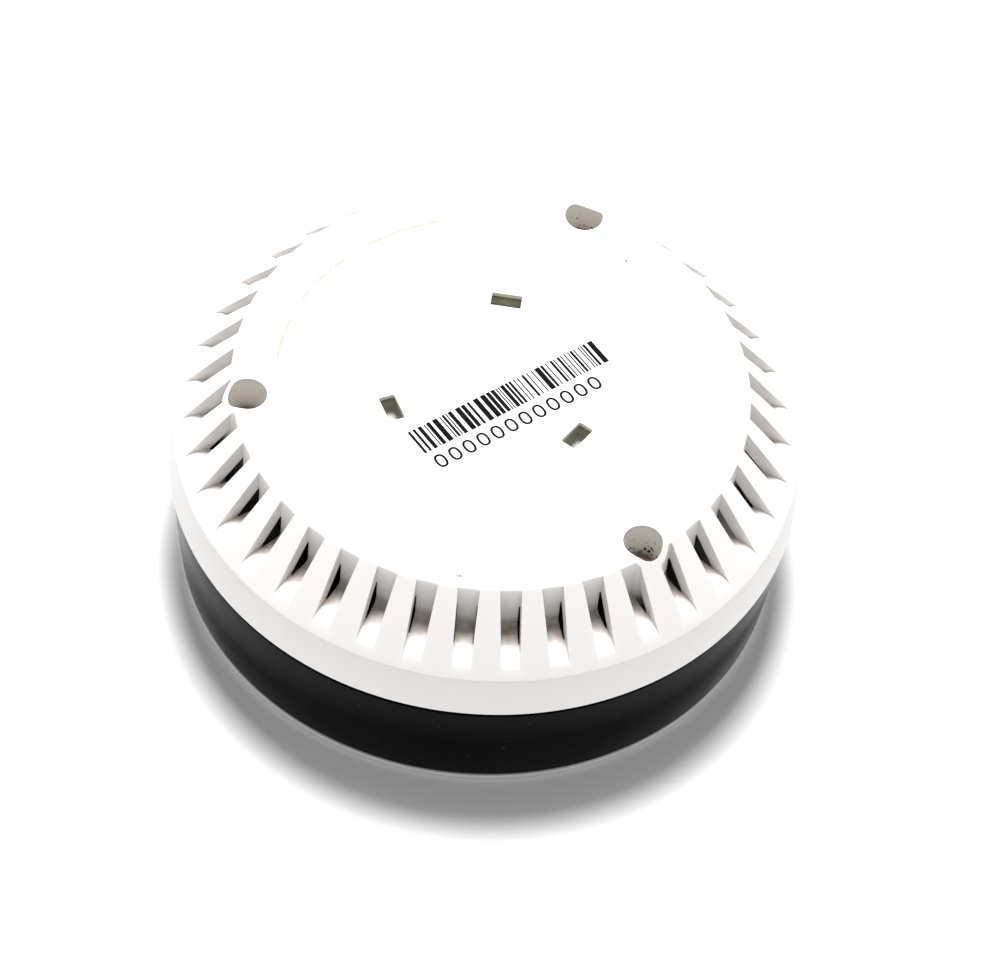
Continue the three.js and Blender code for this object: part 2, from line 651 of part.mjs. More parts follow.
place("back_cover", backCover(), MATERIALS.white);
place("back_label", backLabel(), MATERIALS.paper);
PITCH_ANGLES.forEach((angle, i) => place(`case_screw_${LETTERS[i]}`, caseScrew(angle), MATERIALS.screwSteel));
place("side_band", sideBand(), MATERIALS.blackGloss);
place("dust_screen", dustScreen(), MATERIALS.blackMatte);
place("front_cover", frontCover(), MATERIALS.white);
place("test_button", testButton(), MATERIALS.white);
place("switch_plunger", switchPlunger(), MATERIALS.blackMatte);
place("test_switch", testSwitch(), MATERIALS.nickel);
place("light_guide", lightGuide(), MATERIALS.clear);
place("power_led", led(ledPlaces()[0]), MATERIALS.ledGreen);
place("alarm_led", led(ledPlaces()[1]), MATERIALS.ledRed);
place("fault_led", led(ledPlaces()[2]), MATERIALS.ledAmber);
place("horn_chamber", hornChamber(), MATERIALS.blackMatte);
place("piezo_disc", piezoDisc(), MATERIALS.brass);
place("main_board", mainBoard(), MATERIALS.board);
BOARD_POST_ANGLES.forEach((angle, i) => {
  place(`board_screw_${LETTERS[i]}`, boardScrew(angle), MATERIALS.nickel);
});
place("co_sensor", coSensor(), MATERIALS.sensorCase);
place("sensor_cap", sensorCap(), MATERIALS.blackMatte);
place("battery_tray", batteryTray(), MATERIALS.blackMatte);
CELL_Y.forEach((y, i) => place(`battery_${LETTERS[i]}`, battery(y), MATERIALS.cellSleeve));
[-1, 1].forEach((side, i) => place(`battery_contact_${LETTERS[i]}`, batteryContact(side), MATERIALS.nickel));
place("mcu_chip", mcuChip(), MATERIALS.chip);
place("boost_coil", boostCoil(), MATERIALS.brass);
place("reservoir_capacitor", reservoirCapacitor(), MATERIALS.nickel);

export default object;
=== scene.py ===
"""Looks for a round ceiling-type carbon monoxide alarm that lies on its front face with its back up.

Outlines are in millimetres, as (radius, z, rounding) corners, and become metres when a piece is made.
"""

import json
import math
import random

import bmesh
import bpy
from mathutils import Matrix, Vector


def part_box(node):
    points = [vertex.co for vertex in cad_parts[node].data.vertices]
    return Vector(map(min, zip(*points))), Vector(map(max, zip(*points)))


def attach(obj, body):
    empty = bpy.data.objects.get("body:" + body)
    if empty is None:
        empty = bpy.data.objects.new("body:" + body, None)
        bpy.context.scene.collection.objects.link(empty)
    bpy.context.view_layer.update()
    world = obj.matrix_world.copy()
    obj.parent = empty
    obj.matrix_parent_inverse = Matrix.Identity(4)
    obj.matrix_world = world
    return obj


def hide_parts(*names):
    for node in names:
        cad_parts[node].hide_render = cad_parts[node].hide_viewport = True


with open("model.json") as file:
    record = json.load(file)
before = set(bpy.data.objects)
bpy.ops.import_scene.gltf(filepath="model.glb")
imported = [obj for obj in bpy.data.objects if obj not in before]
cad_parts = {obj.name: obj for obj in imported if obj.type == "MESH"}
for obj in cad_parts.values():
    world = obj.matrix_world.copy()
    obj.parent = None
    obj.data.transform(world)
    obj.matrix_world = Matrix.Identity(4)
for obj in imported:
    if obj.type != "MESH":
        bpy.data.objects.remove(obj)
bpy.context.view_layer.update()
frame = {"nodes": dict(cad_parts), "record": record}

MM = 0.001
SHARP_ANGLE = math.radians(35)


def box_mm(node):
    low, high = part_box(node)
    return low / MM, high / MM


def middle_mm(node):
    low, high = box_mm(node)
    return (low + high) / 2


# ---- places and sizes read from the frame ----
COVER_LOW, COVER_HIGH = box_mm("back_cover")
BAND_LOW, BAND_HIGH = box_mm("side_band")
LABEL_LOW, LABEL_HIGH = box_mm("back_label")
BUTTON_LOW, BUTTON_HIGH = box_mm("test_button")
SEAM_Z = COVER_LOW.z
RIM_RADIUS = COVER_HIGH.x
PLATE_Z = COVER_HIGH.z
SCREW_PLACES = [middle_mm(f"case_screw_{letter}") for letter in "abc"]
SCREW_TOP_Z = box_mm("case_screw_a")[1].z
LED_PLACES = [middle_mm(f"{name}_led") for name in ("power", "alarm", "fault")]
HORN_PLACE = middle_mm("horn_chamber")
POST_PLACES = [middle_mm(f"board_screw_{letter}") for letter in "abc"]

# ---- sizes of the back cover ----
SHOULDER_RADIUS = RIM_RADIUS - 0.95
SHOULDER_Z = SEAM_Z + 9
PLATE_RADIUS = RIM_RADIUS - 12.07
PLATE_THICKNESS = 2
SLOPE = (PLATE_Z - SHOULDER_Z) / (SHOULDER_RADIUS - PLATE_RADIUS)
SLOT_COUNT = 40
PITCH = 2 * math.pi / SLOT_COUNT
SLOT_INNER_WIDTH = 3.9
SLOT_OUTER_WIDTH = 3.5
SLOT_INNER_RADIUS = 48.5
SLOT_OUTER_RADIUS = 57.9
TROUGH_Z = SEAM_Z + 12.1
TROUGH_FLAT_RADIUS = 53.5
TROUGH_LIP_ROUND = 5
TROUGH_THICKNESS = 1.2
TROUGH_CLEARANCE = 0.15
RIB_DEPTH = 4.8
POCKET_RADIUS = 3.65
BOSS_RADIUS = 4.65
POCKET_FLOOR_Z = PLATE_Z - 9.4
BOSS_BOTTOM_Z = PLATE_Z - 17.4
WINDOW_RADIUS = 20
WINDOW_ANGLES = [math.radians(angle) for angle in (86.9, 206.9, 326.9)]
WINDOW_LENGTH = 5.7
WINDOW_WIDTH = 3
WINDOW_DEPTH = 4.2
WINDOW_LIP = 1
WINDOW_UNDERCUT = 0.8
WINDOW_WALL = 1.6
SCREW_BORE_RADIUS = 1.9
COVER_BEVEL = 0.15
# the slots' edges lose their bevel between these radii
BEVEL_FADE_START = 55.0
BEVEL_FADE_END = 57.4

# Lathe lines in one pitch, kept clear of the slots' sides so that their edges bevel cleanly.
PITCH_LINES = [math.radians(angle) for angle in (-4.5, -3.55, -2.7, -1.25, 0, 1.25, 2.7, 3.55)]
COVER_ANGLES = [k * PITCH + line for k in range(SLOT_COUNT) for line in PITCH_LINES]


def shoulder_z(radius):
    return SHOULDER_Z + SLOPE * (SHOULDER_RADIUS - radius)


def even_angles(count):
    return [2 * math.pi * k / count for k in range(count)]


# ---- mesh helpers, in millimetres ----
def round_corner(before, corner, after, radius, steps):
    corner = Vector(corner)
    inward = (Vector(before) - corner).normalized()
    outward = (Vector(after) - corner).normalized()
    half = inward.angle(outward) / 2
    centre = corner + (inward + outward).normalized() * (radius / math.sin(half))
    first = corner + inward * (radius / math.tan(half)) - centre
    last = corner + outward * (radius / math.tan(half)) - centre
    sweep = math.atan2(first.x * last.y - first.y * last.x, first.dot(last))
    return [tuple(centre + Matrix.Rotation(sweep * k / steps, 2) @ first) for k in range(steps + 1)]


def outline(corners, steps=4):
    """Points of an outline whose corners are (radius, z) or (radius, z, rounding)."""
    points = []
    for k, corner in enumerate(corners):
        if len(corner) == 2:
            points.append(corner)
            continue
        before = corners[k - 1][:2]
        after = corners[(k + 1) % len(corners)][:2]
        points += round_corner(before, corner[:2], after, corner[2], steps)
    return points


def lathe(points, angles, at=(0, 0), closed=True):
    """A solid turned about Z. An open line is closed with flat faces at its two ends."""
    mesh = bmesh.new()
    rings = []
    for radius, z in points:
        if radius < 1e-6:
            rings.append([mesh.verts.new((at[0], at[1], z))] * len(angles))
            continue
        rings.append([
            mesh.verts.new((at[0] + radius * math.cos(a), at[1] + radius * math.sin(a), z))
            for a in angles
        ])
    count = len(angles)
    pairs = list(zip(rings, rings[1:]))
    if closed:
        pairs.append((rings[-1], rings[0]))
    else:
        mesh.faces.new(rings[0])
        mesh.faces.new(rings[-1])
    for lower, upper in pairs:
        for k in range(count):
            corners = [lower[k], lower[(k + 1) % count], upper[(k + 1) % count], upper[k]]
            distinct = list(dict.fromkeys(corners))
            if len(distinct) > 2:
                mesh.faces.new(distinct)
    bmesh.ops.recalc_face_normals(mesh, faces=mesh.faces)
    return mesh


def disc(radius, bottom, top, at=(0, 0), sides=48):
    return lathe([(0, bottom), (radius, bottom), (radius, top), (0, top)], even_angles(sides), at)


def prism(shape, bottom, top, turn=0.0, at=(0, 0)):
    """A plan outline of (x, y) points raised from bottom to top, turned and then moved."""
    mesh = bmesh.new()
    spin = Matrix.Rotation(turn, 2)
    plan = [spin @ Vector(point) + Vector(at) for point in shape]
    low = [mesh.verts.new((x, y, bottom)) for x, y in plan]
    high = [mesh.verts.new((x, y, top)) for x, y in plan]
    mesh.faces.new(low)
    mesh.faces.new(high)
    for k in range(len(plan)):
        j = (k + 1) % len(plan)
        mesh.faces.new((low[k], low[j], high[j], high[k]))
    bmesh.ops.recalc_face_normals(mesh, faces=mesh.faces)
    return mesh


def rectangle(length, width, rounding=0.0):
    x, y = length / 2, width / 2
    corners = [(-x, -y), (x, -y), (x, y), (-x, y)]
    if rounding:
        corners = [(cx, cy, rounding) for cx, cy in corners]
    return outline(corners)


def radial_prism(points, width_at, angle):
    """An outline of (radius, z) points thickened sideways by width_at(radius) and turned about Z."""
    mesh = bmesh.new()
    sides = []
    for sign in (-0.5, 0.5):
        sides.append([mesh.verts.new((x, sign * width_at(x), z)) for x, z in points])
    mesh.faces.new(sides[0])
    mesh.faces.new(sides[1])
    for k in range(len(points)):
        j = (k + 1) % len(points)
        mesh.faces.new((sides[0][k], sides[0][j], sides[1][j], sides[1][k]))
    bmesh.ops.recalc_face_normals(mesh, faces=mesh.faces)
    mesh.transform(Matrix.Rotation(angle, 4, "Z"))
    return mesh


def join(meshes):
    """One bmesh with everything in it."""
    joined = bmesh.new()
    for mesh in meshes:
        data = bpy.data.meshes.new("part")
        mesh.to_mesh(data)
        joined.from_mesh(data)
        bpy.data.meshes.remove(data)
        mesh.free()
    return joined


def combine(base, tool, operation):
    """The boolean of two bmeshes, which are both used up."""
    hosts = []
    for mesh in (base, tool):
        data = bpy.data.meshes.new("part")
        mesh.to_mesh(data)
        mesh.free()
        host = bpy.data.objects.new("part", data)
        bpy.context.scene.collection.objects.link(host)
        hosts.append(host)
    boolean = hosts[0].modifiers.new("boolean", "BOOLEAN")
    boolean.solver = "EXACT"
    boolean.operation = operation
    boolean.object = hosts[1]
    bpy.context.view_layer.update()
    evaluated = hosts[0].evaluated_get(bpy.context.evaluated_depsgraph_get())
    result = bmesh.new()
    result.from_mesh(evaluated.data)
    for host in hosts:
        data = host.data
        bpy.data.objects.remove(host)
        bpy.data.meshes.remove(data)
    bmesh.ops.remove_doubles(result, verts=result.verts, dist=0.004)
    bmesh.ops.dissolve_degenerate(result, dist=0.004, edges=result.edges)
    return result


def weigh_edges(mesh, weight_at):
    """Gives each convex sharp edge its share of the bevel's width, from weight_at(its middle)."""
    layer = mesh.edges.layers.float.new("bevel_weight_edge")
    for edge in mesh.edges:
        if len(edge.link_faces) != 2 or edge.calc_face_angle(0.0) <= SHARP_ANGLE:
            continue
        weight = weight_at((edge.verts[0].co + edge.verts[1].co) / 2) if edge.is_convex else 0.0
        edge[layer] = weight
        edge.smooth = weight > 0.0


def publish(name, mesh, materials, body="case", stands_for=(), bevel=0.0, weight_at=None):
    """Makes the piece from a bmesh in millimetres. bevel is a rounding of its sharp edges."""
    data = bpy.data.meshes.new(name)
    if bevel:
        weigh_edges(mesh, weight_at or (lambda middle: 1.0))
    mesh.transform(Matrix.Scale(MM, 4))
    for face in mesh.faces:
        face.smooth = True
    mesh.to_mesh(data)
    mesh.free()
    for material in materials:
        data.materials.append(material)
    piece = bpy.data.objects.new(name, data)
    bpy.context.scene.collection.objects.link(piece)
    if bevel:
        rounding = piece.modifiers.new("rounding", "BEVEL")
        rounding.width = bevel * MM
        rounding.segments = 2
        rounding.limit_method = "WEIGHT"
        rounding.use_clamp_overlap = False
        rounding.loop_slide = False
        rounding.harden_normals = True
        rounding.miter_outer = "MITER_ARC"
    else:
        data.set_sharp_from_angle(angle=SHARP_ANGLE)
    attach(piece, body)
    if stands_for:
        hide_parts(*stands_for)
    return piece


# ---- materials ----
class Shader:
    """A Principled material under construction. Texture positions are in millimetres."""

    def __init__(self, name, **uniform):
        self.material = bpy.data.materials.new(name)
        self.material.use_nodes = True
        self.tree = self.material.node_tree
        self.surface = self.tree.nodes["Principled BSDF"]
        for key, value in uniform.items():
            self.surface.inputs[key.replace("_", " ")].default_value = value
        raw = self.tree.nodes.new("ShaderNodeTexCoord").outputs["Object"]
        self.place = self.vector("SCALE", raw, scale=1 / MM)
        self.bumped = None

    def put(self, socket, value):
        if isinstance(value, bpy.types.NodeSocket):
            self.tree.links.new(value, socket)
        else:
            socket.default_value = value

    def vector(self, operation, *values, scale=None):
        node = self.tree.nodes.new("ShaderNodeVectorMath")
        node.operation = operation
        for socket, value in zip(node.inputs, values):
            self.put(socket, value)
        if scale is not None:
            self.put(node.inputs["Scale"], scale)
        return node.outputs["Value"] if operation in ("LENGTH", "DISTANCE") else node.outputs[0]

    def math(self, operation, *values):
        node = self.tree.nodes.new("ShaderNodeMath")
        node.operation = operation
        for socket, value in zip(node.inputs, values):
            self.put(socket, value)
        return node.outputs[0]

    def parts(self):
        node = self.tree.nodes.new("ShaderNodeSeparateXYZ")
        self.put(node.inputs[0], self.place)
        return node.outputs

    def noise(self, size, detail=2.0, vector=None):
        """Noise whose blobs are about size millimetres."""
        node = self.tree.nodes.new("ShaderNodeTexNoise")
        self.put(node.inputs["Vector"], self.place if vector is None else vector)
        node.inputs["Scale"].default_value = 1 / size
        node.inputs["Detail"].default_value = detail
        return node.outputs[0]

    def noise_colour(self, size):
        """Three different noises at once, as a colour."""
        node = self.tree.nodes.new("ShaderNodeTexNoise")
        self.put(node.inputs["Vector"], self.place)
        node.inputs["Scale"].default_value = 1 / size
        return node.outputs["Color"]

    def cells(self, size, vector=None):
        """Distance to the nearest of scattered points about size millimetres apart."""
        node = self.tree.nodes.new("ShaderNodeTexVoronoi")
        self.put(node.inputs["Vector"], self.place if vector is None else vector)
        node.inputs["Scale"].default_value = 1 / size
        return node.outputs["Distance"]

    def remap(self, value, low, high, to_low=0.0, to_high=1.0):
        node = self.tree.nodes.new("ShaderNodeMapRange")
        self.put(node.inputs[0], value)
        for socket, number in zip(node.inputs[1:5], (low, high, to_low, to_high)):
            socket.default_value = number
        return node.outputs[0]

    def mix(self, share, first, second):
        node = self.tree.nodes.new("ShaderNodeMix")
        node.data_type = "RGBA"
        self.put(node.inputs[0], share)
        self.put(node.inputs[6], first)
        self.put(node.inputs[7], second)
        return node.outputs[2]

    def cavity(self, reach):
        """0 in the open and up to 1 in places that are closed in within reach millimetres."""
        node = self.tree.nodes.new("ShaderNodeAmbientOcclusion")
        node.samples = 8
        node.only_local = True
        node.inputs["Distance"].default_value = reach * MM
        return self.math("SUBTRACT", 1.0, node.outputs["AO"])

    def wear(self, low=0.52, high=0.6):
        """1 along convex edges."""
        node = self.tree.nodes.new("ShaderNodeNewGeometry")
        return self.remap(node.outputs["Pointiness"], low, high)

    def bump(self, height, depth, strength=1.0):
        """Adds relief; depth is in millimetres."""
        node = self.tree.nodes.new("ShaderNodeBump")
        node.inputs["Strength"].default_value = strength
        node.inputs["Distance"].default_value = depth * MM
        self.put(node.inputs["Height"], height)
        if self.bumped is not None:
            self.put(node.inputs["Normal"], self.bumped)
        self.bumped = node.outputs[0]

    def done(self, colour, roughness):
        self.put(self.surface.inputs["Base Color"], colour)
        self.put(self.surface.inputs["Roughness"], roughness)
        if self.bumped is not None:
            self.put(self.surface.inputs["Normal"], self.bumped)
        return self.material


def grey(level):
    return (level, level, level, 1.0)


WHITE = (0.88, 0.865, 0.85, 1)
WHITE_WARM = (0.86, 0.835, 0.81, 1)
# tint of the painted shade in the white plastic's recesses
PAINTED_SHADE_BEIGE = (0.66, 0.58, 0.51, 1)
GRIME = (0.035, 0.022, 0.016, 1)
# trough floors' brown: dust, partly a painted shadow
TROUGH_DUST_AND_SHADE = (0.34, 0.28, 0.235, 1)
# darker brown patches towards the pocket floors
POCKET_FLOOR_BROWN = (0.16, 0.105, 0.08, 1)
# a painted light: the pocket walls' colour, lighter and warmer than the plate's white
POCKET_WALL_PAINTED_LIGHT = (0.96, 0.935, 0.89, 1)
RUB = (0.42, 0.37, 0.30, 1)
WHITE_GRAIN = (0.80, 0.77, 0.74, 1)
POCKET_STRIPE = (0.55, 0.45, 0.40, 1)
RUB_CENTRE = (1.5, -0.8, 0.0)
RUB_RADIUS = 41.6
# (size, amount) of the specks in each pocket; the second pocket has none
POCKET_SPECKS = ((1.1, 0.3), (1.0, 0.0), (0.9, 0.42))
# (x, y, radius) of small dark marks on the plate
PLATE_MARKS = (
    (-2.4, -46.3, 0.16),
    (-1.9, -46.25, 0.2),
    (-1.4, -46.2, 0.14),
    (23.0, 33.0, 0.2),
    (-8.1, -25.6, 0.13),
)


def moulded_white(shader, shade=0.55, reach=3.0):
    """Base colour and roughness of slightly aged white ABS, with painted shade: a beige tint in its
    recesses.
    """
    colour = shader.mix(shader.noise(9, 3), WHITE, WHITE_WARM)
    grain = shader.noise(0.35, 2)
    colour = shader.mix(shader.remap(grain, 0.35, 0.75, 0.0, 0.18), colour, WHITE_GRAIN)
    # painted shade: closed-in places turn beige, by up to shade
    closed = shader.remap(shader.cavity(reach), 0.25, 1.0, 0.0, shade)
    colour = shader.mix(closed, colour, PAINTED_SHADE_BEIGE)
    shader.bump(shader.noise(0.5, 3), 0.012, 0.5)
    shader.bump(shader.noise(14, 1), 0.05, 0.25)
    roughness = shader.remap(shader.noise(2.2, 4), 0.3, 0.7, 0.36, 0.5)
    return colour, roughness


def specks(shader, size, below):
    """1 on small irregular specks."""
    wobble = shader.vector("SCALE", shader.noise_colour(size * 0.6), scale=size * 0.5)
    distance = shader.cells(size, shader.vector("ADD", shader.place, wobble))
    return shader.remap(distance, below, below * 0.75)


def near(shader, point, radius, soft, place=None):
    """1 within radius millimetres of a point, fading over soft."""
    distance = shader.vector("DISTANCE", place or shader.place, tuple(point))
    return shader.remap(distance, radius + soft, radius)


def product(shader, *values):
    result = values[0]
    for value in values[1:]:
        result = shader.math("MULTIPLY", result, value)
    return result


def back_cover_white():
    shader = Shader("white_back", Specular_IOR_Level=0.45)
    colour, roughness = moulded_white(shader)
    x, y, z = shader.parts()
    flat = shader.vector("MULTIPLY", shader.place, (1.0, 1.0, 0.0))
    # where the ceiling bracket's rim has rubbed the plate
    from_centre = shader.vector("DISTANCE", flat, RUB_CENTRE)
    wander = shader.remap(shader.noise(12, 2), 0.3, 0.7, -0.12, 0.12)
    off_line = shader.math("SUBTRACT", shader.math("ADD", from_centre, wander), RUB_RADIUS)
    off_line = shader.math("ABSOLUTE", off_line)
    line = shader.remap(off_line, 0.42, 0.2)
    angle = shader.math("ARCTAN2", y, x)
    turned_on = shader.remap(angle, math.radians(62), math.radians(110))
    upward = shader.remap(z, PLATE_Z - 0.3, PLATE_Z - 0.1)
    broken = shader.remap(shader.noise(2.5, 3), 0.22, 0.5)
    rub = product(shader, line, turned_on, upward, broken)
    colour = shader.mix(shader.math("MULTIPLY", rub, 0.85), colour, RUB)
    # pocket walls painted lighter and warmer, a painted light for light bounced inside them; darker brown
    # towards their floors, and dirt specks low in two of them
    below = shader.remap(z, PLATE_Z - 0.3, PLATE_Z - 1.2)
    deep = shader.remap(z, PLATE_Z - 2.8, PLATE_Z - 6.5)
    clusters = shader.remap(shader.noise(2.4, 2), 0.44, 0.56)
    for place, (size, amount) in zip(SCREW_PLACES, POCKET_SPECKS):
        inside = near(shader, (place.x, place.y, 0.0), POCKET_RADIUS + 0.1, 0.05, flat)
        colour = shader.mix(product(shader, inside, below), colour, POCKET_WALL_PAINTED_LIGHT)
        # darker brown patches towards each pocket's floor
        near_pocket_floor = shader.remap(z, POCKET_FLOOR_Z + 1.6, POCKET_FLOOR_Z + 0.2, 0.0, 0.75)
        colour = shader.mix(product(shader, inside, near_pocket_floor, clusters), colour, POCKET_FLOOR_BROWN)
        if amount:
            dirt = product(shader, inside, deep, clusters, specks(shader, size, amount))
            colour = shader.mix(dirt, colour, GRIME)
    # brown dust on the trough floors, partly a painted shadow of the plate's edge, strongest near the inner
    # wall
    from_axis = shader.vector("LENGTH", flat)
    low_down = shader.remap(z, TROUGH_Z + 2.6, TROUGH_Z + 0.3)
    shadow_inward = shader.remap(from_axis, 55.6, 52.6)
    within_slots = shader.remap(from_axis, SLOT_INNER_RADIUS - 0.6, SLOT_INNER_RADIUS - 0.1)
    patchy = shader.remap(shader.noise(1.8, 3), 0.25, 0.7, 0.45, 1.0)
    skin = shader.math("ADD", shader.math("MULTIPLY", from_axis, -SLOPE), shoulder_z(0))
    under_skin = shader.remap(shader.math("SUBTRACT", skin, z), 0.6, 1.8)
    dust = product(shader, low_down, shadow_inward, within_slots, under_skin, patchy)
    colour = shader.mix(shader.math("MULTIPLY", dust, 0.85), colour, TROUGH_DUST_AND_SHADE)
    # small dark marks on the plate
    for mark_x, mark_y, radius in PLATE_MARKS:
        dot = near(shader, (mark_x, mark_y, 0.0), radius, 0.06, flat)
        colour = shader.mix(product(shader, dot, upward), colour, GRIME)
    # faint level stripes on closed-in walls
    closed = shader.remap(shader.cavity(5), 0.6, 0.95)
    stripes = shader.noise(0.6, 2, shader.vector("MULTIPLY", shader.place, (0.15, 0.15, 2.0)))
    striped = shader.math("MULTIPLY", closed, shader.remap(stripes, 0.5, 0.7, 0.0, 0.12))
    colour = shader.mix(striped, colour, POCKET_STRIPE)
    shader.bump(rub, -0.03, 0.5)
    return shader.done(colour, roughness)


def window_cavity_painted_shade():
    # painted shade and light: dark olive-brown under the window's lip, turning light grey-green lower down,
    # where light falls into the cavity
    shader = Shader("window_cavity_painted_shade", Specular_IOR_Level=0.3)
    _, _, z = shader.parts()
    upper = shader.mix(shader.noise(1.6, 3), (0.21, 0.17, 0.06, 1), (0.32, 0.27, 0.125, 1))
    lower = shader.mix(shader.noise(1.1, 3), (0.62, 0.63, 0.55, 1), (0.80, 0.81, 0.75, 1))
    colour = shader.mix(shader.remap(z, PLATE_Z - 1.9, PLATE_Z - 3.9), upper, lower)
    shader.bump(shader.noise(0.4, 2), 0.02, 0.6)
    return shader.done(colour, shader.remap(shader.noise(0.8), 0.3, 0.7, 0.5, 0.7))


def front_white():
    shader = Shader("white_front", Specular_IOR_Level=0.45)
    # the white plastic's painted shade in hollows, at 0.45 strength
    colour, roughness = moulded_white(shader, 0.45)
    return shader.done(colour, roughness)


def gloss_black():
    shader = Shader("gloss_black", IOR=1.1, Specular_IOR_Level=0.5)
    colour = shader.mix(shader.noise(7, 2), (0.0012, 0.0012, 0.0020, 1), (0.0020, 0.0020, 0.0032, 1))
    haze = shader.noise(5, 4, shader.vector("MULTIPLY", shader.place, (1.0, 1.0, 0.35)))
    scratch = shader.noise(0.16, 1, shader.vector("MULTIPLY", shader.place, (0.06, 0.06, 1.0)))
    marks = shader.remap(scratch, 0.66, 0.74)
    patches = shader.remap(shader.noise(11, 2), 0.52, 0.7)
    worn = product(shader, marks, patches)
    colour = shader.mix(shader.math("MULTIPLY", worn, 0.35), colour, grey(0.03))
    dust = specks(shader, 2.6, 0.045)
    colour = shader.mix(shader.math("MULTIPLY", dust, 0.5), colour, grey(0.25))
    shader.bump(shader.noise(9, 1), 0.03, 0.12)
    shader.bump(worn, -0.004, 0.4)
    clean = shader.remap(haze, 0.3, 0.75, 0.09, 0.2)
    roughness = shader.math("ADD", clean, shader.math("MULTIPLY", dust, 0.3))
    return shader.done(colour, roughness)


def paper():
    shader = Shader("label_paper", Specular_IOR_Level=0.4)
    fibre = shader.noise(0.25, 3, shader.vector("MULTIPLY", shader.place, (1.0, 0.35, 1.0)))
    colour = shader.mix(fibre, (0.90, 0.90, 0.895, 1), (0.85, 0.85, 0.845, 1))
    shader.bump(fibre, 0.006, 0.4)
    shader.bump(shader.noise(7, 1), 0.05, 0.3)
    return shader.done(colour, shader.remap(shader.noise(1.5), 0.3, 0.7, 0.42, 0.56))


def print_ink():
    shader = Shader("print_ink", Specular_IOR_Level=0.05)
    colour = shader.mix(shader.noise(0.18, 2), (0.003, 0.003, 0.004, 1), (0.008, 0.008, 0.010, 1))
    shader.bump(shader.noise(0.15), 0.003, 0.3)
    return shader.done(colour, shader.remap(shader.noise(0.5), 0.3, 0.7, 0.6, 0.8))


def dark_steel():
    shader = Shader("dark_steel", Metallic=0.6)
    colour = shader.mix(shader.noise(0.7, 4), (0.03, 0.012, 0.009, 1), (0.12, 0.06, 0.045, 1))
    colour = shader.mix(shader.wear(0.5, 0.56), colour, (0.34, 0.25, 0.21, 1))
    # painted shade: near black in the screw's recesses
    colour = shader.mix(shader.remap(shader.cavity(1.0), 0.3, 0.9), colour, (0.02, 0.012, 0.01, 1))
    shader.bump(shader.noise(0.3, 3), 0.03, 0.5)
    return shader.done(colour, shader.remap(shader.noise(0.5, 3), 0.3, 0.7, 0.25, 0.5))


def moulded(name, first, second, rough_low=0.45, rough_high=0.62, **uniform):
    """Moulded plastic with a fine texture, a soft colour drift and lighter worn edges."""
    shader = Shader(name, **uniform)
    colour = shader.mix(shader.noise(5, 3), first, second)
    lighter = tuple(min(1.0, channel * 1.8 + 0.01) for channel in second[:3]) + (1.0,)
    colour = shader.mix(shader.math("MULTIPLY", shader.wear(), 0.6), colour, lighter)
    shader.bump(shader.noise(0.4, 3), 0.015, 0.5)
    return shader.done(colour, shader.remap(shader.noise(1.2, 3), 0.3, 0.7, rough_low, rough_high))


def brushed(name, first, second, stretch=(1.0, 1.0, 0.08)):
    """Plated metal with fine drawn lines and a few dull patches."""
    shader = Shader(name, Metallic=1.0)
    lines = shader.noise(0.12, 2, shader.vector("MULTIPLY", shader.place, stretch))
    colour = shader.mix(lines, first, second)
    dull = shader.remap(shader.noise(2.2, 4), 0.5, 0.75)
    darker = tuple(channel * 0.6 for channel in first[:3]) + (1.0,)
    colour = shader.mix(shader.math("MULTIPLY", dull, 0.5), colour, darker)
    shader.bump(lines, 0.004, 0.4)
    rough = shader.math("ADD", shader.remap(lines, 0.3, 0.7, 0.2, 0.34), shader.math("MULTIPLY", dull, 0.15))
    return shader.done(colour, rough)


def solder_mask():
    """Green board with a web of copper tracks under the mask and small tinned pads."""
    shader = Shader("solder_mask", Coat_Weight=0.4)
    x, y, _ = shader.parts()
    snapped = shader.vector("SNAP", shader.place, (1.6, 1.6, 50.0))
    choice = shader.tree.nodes.new("ShaderNodeTexWhiteNoise")
    shader.put(choice.inputs["Vector"], snapped)
    pick = choice.outputs["Value"]
    along_x = shader.math("PINGPONG", x, 0.8)
    along_y = shader.math("PINGPONG", y, 0.8)
    chosen_x = shader.math("GREATER_THAN", pick, 0.55)
    chosen_y = shader.math("LESS_THAN", pick, 0.45)
    track_x = shader.math("MULTIPLY", shader.remap(along_x, 0.62, 0.68), chosen_x)
    track_y = shader.math("MULTIPLY", shader.remap(along_y, 0.62, 0.68), chosen_y)
    track = shader.math("MAXIMUM", track_x, track_y)
    distance = shader.cells(3.4)
    pad = shader.remap(distance, 0.15, 0.12)
    colour = shader.mix(shader.noise(10, 2), (0.022, 0.13, 0.055, 1), (0.03, 0.17, 0.07, 1))
    colour = shader.mix(shader.math("MULTIPLY", track, 0.6), colour, (0.07, 0.30, 0.12, 1))
    colour = shader.mix(pad, colour, (0.62, 0.60, 0.56, 1))
    shader.bump(track, 0.03, 0.5)
    shader.bump(pad, 0.05, 0.5)
    return shader.done(colour, shader.remap(shader.noise(1.2), 0.3, 0.7, 0.25, 0.4))


